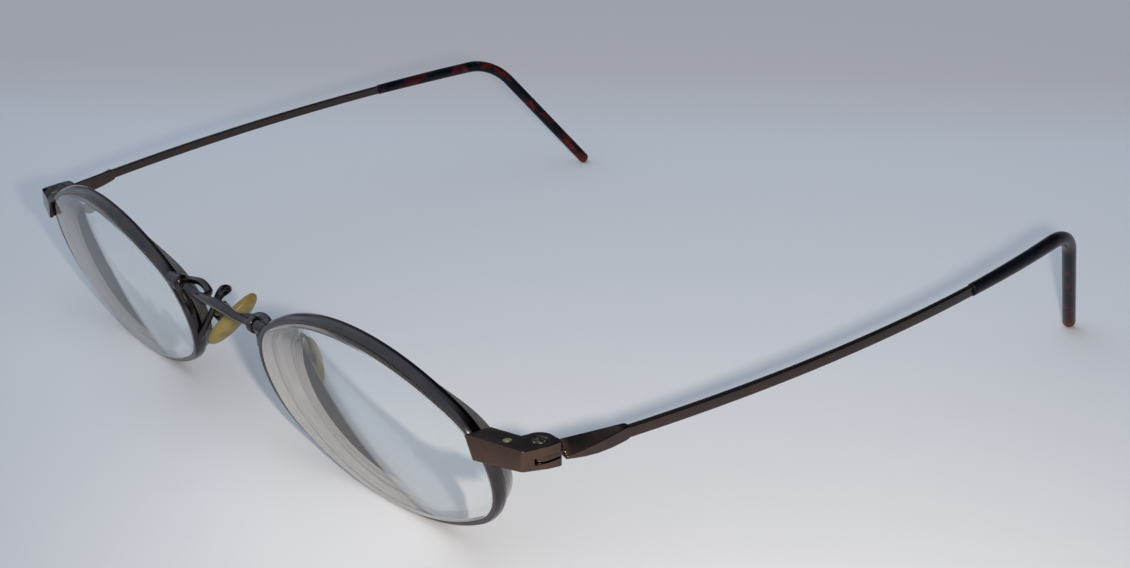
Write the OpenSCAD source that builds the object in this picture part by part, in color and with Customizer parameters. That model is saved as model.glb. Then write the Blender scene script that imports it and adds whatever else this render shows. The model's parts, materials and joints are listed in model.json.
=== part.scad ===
// Full-rim metal eyeglass frame with oval lenses, standing open on a table.
// Millimetres. +Z up, +X to the wearer's left, +Y backwards along the temples.
// It rests on Z = 0 on the two rims and the two temple tips.
// The left half is drawn at +X and mirrored for the right half.

/* [Front] */
// Lens opening, widest, between the rim's inner edges
lens_width = 48; // [45:0.5:50]
// Lens opening, highest
lens_height = 27.2; // [25.6:0.2:29]
// Radius of the oval's narrow ends
oval_end_radius = 9.6; // [9:0.2:10.4]
// Space between the two lens openings
bridge_gap = 22.6; // [20:0.2:24]
// Lean of the lens plane, top forwards
lens_tilt = 15; // [10:0.5:18]
// Turn of each rim, outer end backwards
rim_wrap = 3; // [0:0.5:4]

/* [Rims and lenses] */
// Metal of the rim beside the lens opening
rim_wall = 0.9; // [0.8:0.05:1.3]
// Front to back size of the rim
rim_depth = 1.9; // [1.7:0.1:2.4]
// Depth of the V groove that holds the lens
groove_depth = 0.45; // [0.3:0.05:0.5]
// Radius of the lens's front surface
lens_front_radius = 200; // [150:5:300]
// Radius of the lens's hollow back surface
lens_back_radius = 90; // [85:1:140]
// Thickness of the lens at its middle
lens_centre_thickness = 1.5; // [1.5:0.1:2.4]
// Distance of the lens's front vertex before the middle of the rim
lens_front_rise = 2.07; // [1.9:0.01:2.3]

/* [Hinge and endpiece] */
// Hinge axis outside the lens opening's outer end
hinge_out = 5.5; // [5:0.1:6.2]
// Hinge axis behind the middle of the front
hinge_back = 3.8; // [3.5:0.05:4.4]
// Hinge tongue above the middle of the lens
hinge_lift = 4.9; // [4.4:0.1:5.4]
// Radius of the endpiece round the hinge
barrel_radius = 2.05; // [1.9:0.05:2.2]
// Radius of the hinge screw's shank
hinge_screw_radius = 0.6; // [0.5:0.05:0.7]
// Thickness of the temple's hinge tongue
tongue_thickness = 0.7; // [0.6:0.05:0.9]
// Radius of the rim screw's shank
rim_screw_radius = 0.38; // [0.3:0.02:0.42]

/* [Temples] */
// Path length from the hinge to the start of the ear bend
temple_straight = 95.8; // [88:0.2:102]
// Radius of the temple's slight inward bow
temple_bow_radius = 264; // [240:1:320]
// Outward splay of the temple at the hinge
temple_splay = 13.8; // [11:0.1:15]
// Rise of the open temple towards the ear
temple_rise = 2.9; // [1.5:0.1:5]
// Height of the flat shaft
shaft_height = 1.55; // [1.3:0.05:1.7]
// Thickness of the flat shaft
shaft_thickness = 0.8; // [0.6:0.05:1]
// Path length from the hinge to the rear end of the butt
butt_end = 11.3; // [10.5:0.1:13]
// Path length from the hinge to the start of the tip sleeve
tip_start = 73.5; // [68:0.5:78]

/* [Temple tips] */
// Radius of the tip's rear half and of its round end
tip_radius = 1.1; // [1.05:0.05:1.4]
// Radius of the wire core inside the tip
core_radius = 0.35; // [0.25:0.05:0.35]
// Centre line radius of the ear bend
ear_bend_radius = 11; // [9:0.5:16]
// Downward turn of the ear bend
ear_bend_angle = 55; // [48:1:60]
// Inward roll of the ear bend
ear_bend_roll = 17; // [8:1:20]
// Length of the plain round stretch before the tip's end
tip_plain_length = 10; // [8:0.5:12]

/* [Nose pads] */
// Length of a nose pad
pad_length = 10.6; // [9.8:0.2:11.6]
// Width of a nose pad
pad_width = 6.2; // [5.6:0.2:7]
// Thickness of a nose pad
pad_thickness = 2; // [1.8:0.1:2.4]
// Distance of a pad's middle from the end of the lens opening beside it
pad_inset = 2.7; // [2.4:0.1:3.2]
// Space between the lens's rear edge and a pad's middle, front to back
pad_behind = 1.3; // [1:0.1:2.4]
// Lean of the pads, top backwards
pad_lean = 33; // [28:1:36]
// Lean of the pads, tops together
pad_flare = 29; // [24:1:32]
// Turn of the pads, rear edges apart
pad_splay = 20; // [14:1:26]
// Radius of the pad arm's wire
arm_radius = 0.5; // [0.4:0.05:0.55]

/* [Hidden] */

// Gaps between pieces
braze_gap = 0.02;
lens_gap = 0.05;
running_gap = 0.03;
slot_gap = 0.05;

// Oval of four tangent arcs
half_w = lens_width / 2;
half_h = lens_height / 2;
side_radius = (half_w * half_w + half_h * half_h - 2 * half_w * oval_end_radius)
    / (2 * (half_h - oval_end_radius));
end_x = half_w - oval_end_radius;
side_drop = side_radius - half_h;
end_turn = atan2(side_drop, end_x);
rim_x = bridge_gap / 2 + half_w;

// Rim section
ridge_half = 0.35;
rim_chamfer = 0.2;
groove_half = 0.47;
rim_z = (half_h + rim_wall) * cos(lens_tilt) + ridge_half * sin(lens_tilt);

// Lens front surface at its upper edge is the front-most point of the frame
function sag(radius, r) = radius - sqrt(radius * radius - r * r);
lens_top_w = sag(lens_front_radius, half_h) - lens_front_rise;
front_most = -half_h * sin(lens_tilt) + lens_top_w * cos(lens_tilt);

// Hinge place before the frame is centred front to back
hinge_x = rim_x + half_w + hinge_out;
hinge_z = rim_z + hinge_lift;

// Heights of the endpiece above and below the temple path, at the hinge
lug_top = 1.75;
lug_bottom = 1.55;
split_height = 0.75;
rim_cut = 0.1;
endpiece_wall = 0.7;
slot_half = tongue_thickness / 2 + slot_gap;

// Turn a point about an axis
function about_x(p, a) = [p.x, p.y * cos(a) - p.z * sin(a), p.y * sin(a) + p.z * cos(a)];
function about_y(p, a) = [p.x * cos(a) + p.z * sin(a), p.y, -p.x * sin(a) + p.z * cos(a)];
function about_z(p, a) = [p.x * cos(a) - p.y * sin(a), p.x * sin(a) + p.y * cos(a), p.z];
function unit(v) = v / norm(v);

// Temple path in the temple's own frame, whose Y axis rises backwards
deg = 180 / PI;
bow_centre = [-temple_bow_radius * cos(temple_splay), temple_bow_radius * sin(temple_splay), 0];
path_offset = 1.3;
function heading(s) = temple_splay - s / temple_bow_radius * deg;
function bow_point(s) = bow_centre + [path_offset, 0, 0]
    + temple_bow_radius * [cos(heading(s)), -sin(heading(s)), 0];
function bow_along(s) = [sin(heading(s)), cos(heading(s)), 0];
function bow_out(s) = [cos(heading(s)), -sin(heading(s)), 0];
bend_point = bow_point(temple_straight);
bend_along = bow_along(temple_straight);
bend_down = -cos(ear_bend_roll) * [0, 0, 1] - sin(ear_bend_roll) * bow_out(temple_straight);
bend_axis = cross(bend_along, bend_down);
drop_start = bend_point + ear_bend_radius
    * (sin(ear_bend_angle) * bend_along + (1 - cos(ear_bend_angle)) * bend_down);
drop_along = cos(ear_bend_angle) * bend_along + sin(ear_bend_angle) * bend_down;
// The drop is as long as it takes for the round end to touch the table
drop_length = (hinge_z + about_x(drop_start, temple_rise).z - tip_radius)
    / -about_x(drop_along, temple_rise).z;
tip_end = drop_start + drop_length * drop_along;

// The frame is centred between its front-most and rear-most points
rear_most = hinge_back + about_x(tip_end, temple_rise).y + tip_radius;
front_y = -(front_most + rear_most) / 2;
hinge_y = front_y + hinge_back;

// Closed skin over a list of rings, each a list of points
module skin(rings) {
    n = len(rings[0]);
    m = len(rings);
    polyhedron(
        points = [for (ring = rings) for (p = ring) p],
        faces = concat(
            [for (i = [1:n - 2]) [0, i, i + 1]],
            [for (k = [0:m - 2]) for (i = [0:n - 1])
                [k * n + i, (k + 1) * n + i, (k + 1) * n + (i + 1) % n]],
            [for (k = [0:m - 2]) for (i = [0:n - 1])
                [k * n + i, (k + 1) * n + (i + 1) % n, k * n + (i + 1) % n]],
            [for (i = [1:n - 2]) [(m - 1) * n, (m - 1) * n + i + 1, (m - 1) * n + i]]));
}

// Smooth curve through points
function curve_at(p, k, t) = let (
    last = len(p) - 1,
    a = p[max(k - 1, 0)], b = p[k], c = p[min(k + 1, last)], d = p[min(k + 2, last)])
    0.5 * (2 * b + (c - a) * t + (2 * a - 5 * b + 4 * c - d) * t * t
        + (3 * b - a - 3 * c + d) * t * t * t);
function curve(p, steps) = concat(
    [for (k = [0:len(p) - 2]) for (i = [0:steps - 1]) curve_at(p, k, i / steps)],
    [p[len(p) - 1]]);

// Rings of an oval tube along points; up tells how the section stands
function tube_rings(p, up, half_across, half_up, sides) = [
    for (i = [0:len(p) - 1]) let (
        last = len(p) - 1,
        along = unit(p[min(i + 1, last)] - p[max(i - 1, 0)]),
        across = unit(cross(up, along)),
        over = cross(along, across))
        [for (j = [0:sides - 1])
            p[i] + half_across[i] * cos(j * 360 / sides) * across
                + half_up[i] * sin(j * 360 / sides) * over]];
function same(value, p) = [for (i = p) value];

// Outline of the oval, grown outwards, as points on its four arcs
function arc_points(centre, radius, from, to, steps) = [
    for (i = [0:steps - 1]) let (a = from + (to - from) * i / steps)
        centre + radius * [cos(a), sin(a)]];
function oval_points(grow) = concat(
    arc_points([end_x, 0], oval_end_radius + grow, -end_turn, end_turn, 16),
    arc_points([0, -side_drop], side_radius + grow, end_turn, 180 - end_turn, 24),
    arc_points([-end_x, 0], oval_end_radius + grow, 180 - end_turn, 180 + end_turn, 16),
    arc_points([0, side_drop], side_radius + grow, 180 + end_turn, 360 - end_turn, 24));

// One turned ring for each arc of the oval, cut where the arcs meet.
// The section's X is outwards from the opening.
module oval_sweep() {
    reach = oval_end_radius + 3;
    joint = [end_x + reach * cos(end_turn), reach * sin(end_turn)];
    for (side = [1, -1]) {
        intersection() {
            translate([side * end_x, 0, 0]) rotate_extrude($fn = 96)
                translate([oval_end_radius, 0]) children();
            translate([0, 0, -5]) linear_extrude(10) polygon([[side * end_x, 0],
                [side * joint.x, side * joint.y], [side * (end_x + 20), 0],
                [side * joint.x, -side * joint.y]]);
        }
        intersection() {
            translate([0, -side * side_drop, 0]) rotate_extrude($fn = 240)
                translate([side_radius, 0]) children();
            translate([0, 0, -5]) linear_extrude(10) polygon([[side * end_x, 0],
                [side * joint.x, side * joint.y], [0, side * 30],
                [-side * joint.x, side * joint.y], [-side * end_x, 0]]);
        }
    }
}

// Frame of the front: X across, Y behind the lens plane, Z up in the lens plane
module in_front() {
    translate([0, front_y, rim_z]) rotate([lens_tilt, 0, 0]) children();
}
// Frame of the left rim: X across, Y up, Z forwards
module in_rim() {
    in_front() translate([rim_x, 0, 0]) rotate([0, 0, rim_wrap]) rotate([90, 0, 0]) children();
}
// Space inside the rim's outer line, so far behind and before its middle
module rim_space(grow, behind = 10, before = 10) {
    in_rim() translate([0, 0, -behind]) linear_extrude(behind + before)
        polygon(oval_points(rim_wall + grow));
}
module in_hinge() {
    translate([hinge_x, hinge_y, hinge_z]) children();
}
module in_temple() {
    in_hinge() rotate([temple_rise, 0, 0]) children();
}
module right() {
    mirror([1, 0, 0]) children();
}

module rim() {
    color("#4a3b30") difference() {
        in_rim() oval_sweep() polygon([
            [0, -rim_depth / 2], [0, -groove_half], [groove_depth, 0], [0, groove_half],
            [0, rim_depth / 2], [rim_wall - rim_chamfer, rim_depth / 2],
            [rim_wall, ridge_half], [rim_wall, -ridge_half],
            [rim_wall - rim_chamfer, -rim_depth / 2]]);
        in_hinge() translate([-10, -12, split_height - rim_cut / 2]) cube([10, 14, rim_cut]);
    }
}

module lens() {
    apex = groove_depth - lens_gap;
    root = 0.3;
    bevel_half = (apex + root) * groove_half / groove_depth;
    color("#dfe9ee") in_rim() union() {
        difference() {
            intersection() {
                translate([0, 0, -6]) linear_extrude(10) polygon(oval_points(-lens_gap));
                translate([0, 0, lens_front_rise - lens_front_radius])
                    sphere(r = lens_front_radius, $fn = 240);
            }
            translate([0, 0, lens_front_rise - lens_centre_thickness - lens_back_radius])
                sphere(r = lens_back_radius, $fn = 240);
        }
        oval_sweep() polygon([[-root, -bevel_half], [apex, 0], [-root, bevel_half]]);
    }
}

// Place across of the left rim's outer line at a height, on its nasal side
function rim_side(up) = rim_x - end_x - sqrt(pow(oval_end_radius + rim_wall, 2) - up * up);
// The rims' nasal ends stand this far before the middle of the front
nasal_front = half_w * sin(rim_wrap);
// Knob beside the rim: its height in the lens plane, radius and place across
knob_up = 6.9;
knob_radius = 1.15;
knob_x = rim_side(knob_up) - 2.2;

// Bar from knob to knob, swollen in the middle and necked at each end, with
// the curled straps and feet that hold it to the rims
module bridge() {
    bar_front = 0.15 - nasal_front;
    middle = [[-knob_x, bar_front, knob_up - 0.1], [-knob_x * 0.7, bar_front + 0.2, knob_up - 0.95],
        [-knob_x * 0.4, bar_front, knob_up - 0.8], [0, bar_front, knob_up - 0.6],
        [knob_x * 0.4, bar_front, knob_up - 0.8], [knob_x * 0.7, bar_front + 0.2, knob_up - 0.95],
        [knob_x, bar_front, knob_up - 0.1]];
    bar = curve(middle, 5);
    neck = 0.36;
    swelling = 0.38;
    height = [for (p = bar) neck + swelling * pow(cos(min(abs(p.x) / (knob_x * 0.62), 1) * 90), 1.2)];
    depth = [for (h = height) 0.3 + 0.4 * h];
    color("#3b322c") in_front() {
        skin(tube_rings(bar, [0, 0, 1], depth, height, 12));
        for (side = [0, 1]) mirror([side, 0, 0]) bridge_end(bar_front);
    }
}

// Knob, curled strap and foot where the bar meets the rim
module bridge_end(bar_front) {
    foot_up = knob_up - 3.4;
    strap = curve([[knob_x * 0.46, bar_front, knob_up - 0.85], [knob_x * 0.58, 0.6, knob_up - 1.5],
        [knob_x * 0.68, 1, knob_up - 1.1], [knob_x * 0.83, 1.05, knob_up - 0.7],
        [knob_x * 1.03, 0.62, knob_up - 0.8],
        [rim_side(knob_up - 0.2) + 0.4, 0.25 - nasal_front, knob_up - 0.2]], 5);
    foot = curve([[knob_x + 0.3, -nasal_front, knob_up - 0.3], [knob_x + 0.75, -nasal_front, knob_up - 1.3],
        [rim_side(foot_up) - 0.2, -nasal_front, foot_up]], 5);
    difference() {
        union() {
            translate([knob_x, -nasal_front, knob_up]) rotate([0, 90, 0]) {
                translate([0, 0, -0.45]) cylinder(r = knob_radius, h = 0.9, $fn = 40);
                translate([0, 0, -0.8]) cylinder(r1 = knob_radius - 0.4, r2 = knob_radius - 0.05,
                    h = 0.36, $fn = 40);
                translate([0, 0, 0.4]) cylinder(r = knob_radius - 0.3, h = 3, $fn = 40);
            }
            skin(tube_rings(strap, [0, 0, 1], same(0.5, strap), same(0.42, strap), 10));
            skin(tube_rings(foot, [0, 1, 0], same(0.5, foot), same(0.6, foot), 10));
        }
        rim_cut_in_front();
    }
}
// The left rim's outer outline, in the frame of the front
module rim_cut_in_front() {
    translate([rim_x, 0, 0]) rotate([0, 0, rim_wrap]) rotate([90, 0, 0])
        translate([0, 0, -10]) linear_extrude(20) polygon(oval_points(rim_wall + braze_gap));
}

// Plan of the endpiece, from the hinge axis, before the rim is cut out of it
front_line_x = -8.4;
front_line_y = -6.4;
corner = [1.15, -3.67];
rear_line = [[-2.3, -0.98], [front_line_x, -2.75]];
// The lugs reach back past the hinge on their outer side, as a stop for the butt
lug_back = 2;
lug_edge = barrel_radius + 0.06;
// Top and slant of the endpiece's end, which lies before the rim
end_top_x = -7;
end_slant = 20;
function rounded_corner(a, b, c, radius, steps) = let (
    u = unit(a - b), v = unit(c - b),
    half = acos(u * v) / 2,
    back = radius / tan(half),
    centre = b + unit(u + v) * radius / sin(half),
    start = b + u * back - centre,
    end = b + v * back - centre,
    from = atan2(start.y, start.x),
    sweep = atan2(cross(start, end), start * end))
    [for (i = [0:steps]) centre + radius * [cos(from + sweep * i / steps),
        sin(from + sweep * i / steps)]];

module endpiece_plan() {
    polygon(concat([[front_line_x, front_line_y]],
        rounded_corner([front_line_x, front_line_y], corner, [barrel_radius, 0], 0.9, 8),
        [[barrel_radius, 0]],
        rounded_corner([barrel_radius, 0], [lug_edge, lug_back], [0, lug_back], 0.5, 6),
        [[0, lug_back], [0, 0], [-barrel_radius, 0], rear_line[0], rear_line[1]]));
}
// Plan of the closing block, which fills the lower half beside the rim
module closing_plan(grow) {
    slope = (corner.y - front_line_y) / (corner.x - front_line_x);
    inner = front_line_y + endpiece_wall * sqrt(1 + slope * slope) - grow;
    right_edge = -1.3 + grow;
    rear = -barrel_radius + grow;
    polygon([[front_line_x, inner], [right_edge, inner + slope * (right_edge - front_line_x)],
        [right_edge, rear], [front_line_x, rear]]);
}
// Space above the endpiece's level top and below its slanted underside
module above_endpiece() {
    translate([-20, -20, lug_top]) cube([40, 40, 10]);
}
module below_endpiece() {
    translate([0, 0, -lug_bottom]) rotate([-7.5, -5.5, 0]) translate([-20, -20, -10])
        cube([40, 40, 10]);
}

head_radius = hinge_screw_radius + 0.4;
head_height = 0.5;
rim_screw_at = [-2.45, -2.98];

module endpiece() {
    color("#57463a") difference() {
        in_hinge() difference() {
            union() {
                translate([0, 0, -4]) linear_extrude(9) endpiece_plan();
                translate([0, 0, -4]) cylinder(r = barrel_radius, h = 9, $fn = 64);
            }
            above_endpiece();
            below_endpiece();
            // Slot for the temple's tongue
            translate([-barrel_radius - 0.1, -barrel_radius + slot_gap, -slot_half])
                cube([2 * barrel_radius + 2, 2 * barrel_radius, 2 * slot_half]);
            translate([0, 0, -5]) cylinder(r = hinge_screw_radius + running_gap, h = 10, $fn = 48);
            translate([0, 0, lug_top - head_height]) cylinder(r = head_radius + running_gap, h = 3, $fn = 48);
            // Slanted end before the rim
            translate([end_top_x, 0, lug_top]) rotate([0, -end_slant, 0])
                translate([-20, -20, -20]) cube([20, 40, 40]);
            // Room for the closing block, and the rim screw's hole
            translate([0, 0, -6]) linear_extrude(6 + split_height) closing_plan(slot_gap);
            translate([rim_screw_at.x, rim_screw_at.y, 0])
                cylinder(r = rim_screw_radius + running_gap, h = 5, $fn = 48);
        }
        rim_space(braze_gap, 10, rim_depth / 2 + braze_gap);
    }
}

module closing_block() {
    color("#4a3b30") difference() {
        in_hinge() difference() {
            translate([0, 0, -4]) linear_extrude(4 + split_height - rim_cut) closing_plan(0);
            below_endpiece();
            translate([rim_screw_at.x, rim_screw_at.y, -5]) {
                cylinder(r = rim_screw_radius + running_gap, h = 8, $fn = 48);
                cylinder(r = rim_screw_radius + 0.28 + running_gap, h = 5, $fn = 48);
            }
        }
        rim_space(braze_gap);
    }
}

module rim_screw() {
    top = lug_top + 0.05;
    color("#8a8a5c") in_hinge() translate([rim_screw_at.x, rim_screw_at.y, 0]) {
        difference() {
            union() {
                translate([0, 0, -0.2]) cylinder(r = rim_screw_radius, h = top + 0.2, $fn = 48);
                translate([0, 0, -0.6]) cylinder(r = rim_screw_radius + 0.28, h = 0.57, $fn = 48);
            }
            translate([-2, -0.12, -0.7]) cube([4, 0.24, 0.3]);
        }
    }
}

module hinge_screw() {
    color("#8f8872") in_hinge() difference() {
        union() {
            translate([0, 0, -lug_bottom]) cylinder(r = hinge_screw_radius, h = lug_bottom + lug_top - 0.1, $fn = 48);
            translate([0, 0, lug_top - head_height + 0.03]) cylinder(r = head_radius, h = head_height, $fn = 48);
        }
        translate([-2, -0.14, lug_top - 0.2]) cube([4, 0.28, 1]);
    }
}

// Section of the butt, from inner top round to inner bottom
function butt_ring(s, inner, outer, bottom, ridge, top) = let (
    c = bow_point(s), o = bow_out(s), z = [0, 0, 1])
    [c - inner * o + (top - 0.15) * z, c + (0.15 - inner) * o + top * z,
        c + (outer - 0.12) * o + (ridge + 0.1) * z, c + outer * o + ridge * z,
        c + outer * o + (bottom + 0.15) * z, c + (outer - 0.15) * o + bottom * z,
        c - inner * o + bottom * z];

// Narrow tang of the shaft inside the butt
tang_length = 3;
tang_half_height = 0.45;
tang_half_thickness = 0.3;
module tang(grow, further) {
    from = butt_end - tang_length - grow;
    translate(bow_point(from)) rotate([0, 0, -heading(butt_end - tang_length / 2)])
        translate([-tang_half_thickness - grow, 0, -tang_half_height - grow])
            cube([2 * (tang_half_thickness + grow), tang_length + grow + further,
                2 * (tang_half_height + grow)]);
}

module temple_butt() {
    front = barrel_radius + 0.12;
    first = front + 0.25;
    last = butt_end - 0.45;
    blend = [0, 0.12, 0.3, 0.5, 0.72, 0.9, 1];
    rings = [for (t = blend) let (swell = sin(180 * t)) butt_ring(
        first + t * (last - first), 1.05 - 0.45 * t, 0.55 + 0.2 * swell,
        -0.95 - 0.38 * swell, 1.45 * t - 0.6, 1.3 - 0.25 * t)];
    nose = butt_ring(butt_end, 0.5, 0.46, -0.85, 0.7, 0.93);
    color("#5a483c") difference() {
        union() {
            in_temple() skin(concat(rings, [nose]));
            in_hinge() translate([0, 0, -tongue_thickness / 2]) difference() {
                union() {
                    cylinder(r = barrel_radius - 0.2, h = tongue_thickness, $fn = 48);
                    translate([0.1, 0, 0]) cube([barrel_radius - 0.25, front + 0.9, tongue_thickness]);
                }
                translate([0, 0, -1]) cylinder(r = hinge_screw_radius + running_gap, h = 3, $fn = 48);
            }
        }
        in_temple() tang(braze_gap, 1);
    }
}

// Flat strip bent along the temple's bow, between two path lengths
module shaft_stretch(from, to) {
    translate(bow_centre + [path_offset, 0, 0]) rotate([0, 0, -heading(from)])
        rotate_extrude(angle = (to - from) / temple_bow_radius * deg, $fn = 720)
            translate([temple_bow_radius - shaft_thickness / 2, -shaft_height / 2])
                square([shaft_thickness, shaft_height]);
}
// Where a lofted stretch meets the round drop, one overlaps the other by these
core_seam = 0.03;
drop_seam = 0.4;
// Round wire that goes on inside the tip: bow, ear bend, then a straight drop
module core(from, grow) {
    sides = 12;
    steps = 6;
    r = core_radius + grow;
    skin(concat(
        [for (i = [0:steps]) bow_ring(from + (temple_straight - from) * i / steps, [r, r], sides)],
        [for (a = [5:5:ear_bend_angle - 1]) bend_ring(a, r, 0, sides)],
        [bend_ring(ear_bend_angle, r, 0, sides), bend_ring(ear_bend_angle, r, 2 * drop_seam, sides)]));
    in_drop() translate([0, 0, drop_seam])
        cylinder(r = r + core_seam, h = drop_length - 6 - drop_seam + grow, $fn = 24);
}
// Frame at the ear bend's centre, the path lying in its XY plane
module in_bend() {
    multmatrix([for (i = [0:2]) [bend_along[i], bend_down[i], bend_axis[i],
        bend_point[i] + ear_bend_radius * bend_down[i]]]) children();
}
// Frame at the start of the drop, with Z along it
module in_drop() {
    in_bend() rotate([0, 0, ear_bend_angle - 90]) translate([ear_bend_radius, 0, 0])
        rotate([-90, 0, 0]) children();
}

module temple_shaft() {
    color("#4b3d33") in_temple() {
        shaft_stretch(butt_end + braze_gap, tip_start - braze_gap);
        tang(0, 0.5);
        core(tip_start - 1, 0);
    }
}

// Rings of the tip's sleeve along the bow and the bend
function sleeve_size(t) = [0.82 + (tip_radius - 0.82) * t, 0.98 + (tip_radius - 0.98) * t];
function bow_ring(s, size, sides) = [for (j = [0:sides - 1])
    bow_point(s) + size[0] * cos(j * 360 / sides) * bow_out(s)
        - size[1] * sin(j * 360 / sides) * [0, 0, 1]];
// Ring at an angle round the bend, or further along the drop
function bend_ring(a, radius, further, sides) = let (
    o = bow_out(temple_straight), z = [0, 0, 1],
    along = cos(a) * bend_along + sin(a) * bend_down,
    down = cos(a) * bend_down - sin(a) * bend_along,
    centre = bend_point + ear_bend_radius * (bend_down - down) + further * along)
    [for (j = [0:sides - 1]) let (
        v = radius * (cos(j * 360 / sides) * o - sin(j * 360 / sides) * z))
        centre + (v * bend_down) * down + (v * bend_axis) * bend_axis];

module temple_tip() {
    sides = 20;
    steps = 10;
    length = temple_straight - tip_start;
    plain_start = drop_length - tip_plain_length;
    color("#2b2430") in_temple() difference() {
        union() {
            skin(concat(
                [bow_ring(tip_start, sleeve_size(0) - [0.1, 0.1], sides)],
                [for (i = [0:steps]) bow_ring(tip_start + 0.2 + (length - 0.2) * i / steps,
                    sleeve_size(i / steps), sides)],
                [for (a = [5:5:ear_bend_angle - 1]) bend_ring(a, tip_radius, 0, sides)],
                [bend_ring(ear_bend_angle, tip_radius, 0, sides),
                    bend_ring(ear_bend_angle, tip_radius, plain_start - drop_seam, sides),
                    bend_ring(ear_bend_angle, tip_radius - 0.06, plain_start + drop_seam, sides)]));
            in_drop() translate([0, 0, plain_start])
                cylinder(r = tip_radius, h = tip_plain_length, $fn = 40);
            in_drop() translate([0, 0, drop_length]) sphere(r = tip_radius, $fn = 40);
        }
        core(tip_start - 1.3, lens_gap);
    }
}

// Nose pad frame: Z along the pad, Y across it backwards, X away from the nose
lens_rear = sag(lens_back_radius, half_w) + lens_centre_thickness - lens_front_rise;
pad_drop = 1.5;
pad_place = [bridge_gap / 2 - pad_inset, front_y + lens_rear + pad_behind, rim_z - pad_drop];
function pad_point(p) = pad_place + about_y(about_x(about_z(p, -pad_splay), -pad_lean), -pad_flare);
module in_pad() {
    translate(pad_place) rotate([0, -pad_flare, 0]) rotate([-pad_lean, 0, 0])
        rotate([0, 0, -pad_splay]) children();
}
pad_pivot = pad_thickness / 2 + 1.4;
box_half = 1.15;
box_depth = 2;
box_half_height = 1.1;
box_front = 0.95;
tab_half = 0.45;
pad_screw_radius = 0.35;
insert_thickness = 0.5;

// Pad section, thick in the middle and round at its edge, from back to nose side
module nose_pad() {
    sides = 32;
    // [distance towards the nose, share of the outline]
    shape = [[0, 0.55], [0, 0.86], [0.12, 0.95], [0.35, 1], [0.55, 0.97], [0.75, 0.86], [0.9, 0.66],
        [0.97, 0.4], [1, 0.12]];
    color("#d9c35a") in_pad() difference() {
        skin([for (q = shape) [for (j = [0:sides - 1]) let (a = -j * 360 / sides)
            [pad_thickness / 2 - q[0] * pad_thickness,
                q[1] * pad_width / 2 * cos(a),
                q[1] * pad_length / 2 * sin(a) * (1 + 0.08 * sin(a))]]]);
        insert_body(lens_gap);
    }
}
// Stiff plate inside the pad and the tab that stands out of its back
module insert_body(grow) {
    translate([-grow, -1.2 - grow, -2.6 - grow])
        cube([insert_thickness + 2 * grow, 2.4 + 2 * grow, 5.2 + 2 * grow]);
    translate([insert_thickness / 2, -tab_half - grow, -0.8 - grow])
        cube([pad_pivot - insert_thickness / 2, 2 * (tab_half + grow), 1.6 + 2 * grow]);
}
module pad_insert() {
    color("#c9c2a0") in_pad() difference() {
        union() {
            insert_body(0);
            translate([pad_pivot, 0, 0]) rotate([90, 0, 0])
                cylinder(r = 0.8, h = 2 * tab_half, center = true, $fn = 32);
        }
        translate([pad_pivot, 0, 0]) rotate([90, 0, 0])
            cylinder(r = pad_screw_radius + running_gap, h = 4, center = true, $fn = 32);
    }
}
module pad_box() {
    color("#4a3b30") in_pad() difference() {
        translate([pad_pivot - box_front, -box_half, -box_half_height])
            cube([box_depth, 2 * box_half, 2 * box_half_height]);
        translate([pad_pivot - 2, -tab_half - 0.1, -2]) cube([2.9, 2 * (tab_half + 0.1), 4]);
        translate([pad_pivot, 0, 0]) rotate([90, 0, 0])
            cylinder(r = pad_screw_radius + running_gap, h = 4, center = true, $fn = 32);
    }
}
module pad_screw() {
    color("#8f8872") in_pad() translate([pad_pivot, 0, 0]) rotate([90, 0, 0]) difference() {
        union() {
            translate([0, 0, -box_half]) cylinder(r = pad_screw_radius, h = 2 * box_half + 0.2, $fn = 32);
            translate([0, 0, box_half + 0.01]) cylinder(r = 0.6, h = 0.35, $fn = 32);
        }
        translate([-1, -0.1, box_half + 0.2]) cube([2, 0.2, 1]);
    }
}

// Point given across, up and behind in the frame of the front
function front_point(x, up, behind) =
    [0, front_y, rim_z] + about_x([x, behind, up], lens_tilt);
module pad_arm() {
    side = bridge_gap / 2 - 1.7;
    box_end = pad_pivot - box_front + box_depth;
    route = curve([front_point(side + 1.5, -3.5, -nasal_front), front_point(side + 0.8, -2.4, 0.3 - nasal_front),
        front_point(side + 0.3, -1.1, 0), front_point(side - 0.2, 0.3, 1.1),
        front_point(side - 0.6, 1.6, 2), front_point(side - 0.8, 2.9, 3), front_point(side - 0.6, 3.3, 4.1),
        front_point(side - 0.1, 2.3, 5.1), pad_point([box_end + 0.7, 0, 1.3]),
        pad_point([box_end - 0.15, 0, 0.3])], 4);
    color("#3b322c") difference() {
        skin(tube_rings(route, [1, 0.1, 0], same(arm_radius, route), same(arm_radius, route), 10));
        rim_space(braze_gap, rim_depth / 2 + braze_gap, rim_depth / 2 + braze_gap);
        in_pad() translate([pad_pivot - box_front - braze_gap, -box_half - braze_gap,
            -box_half_height - braze_gap])
            cube([box_depth + 2 * braze_gap, 2 * (box_half + braze_gap),
                2 * (box_half_height + braze_gap)]);
    }
}

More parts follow.
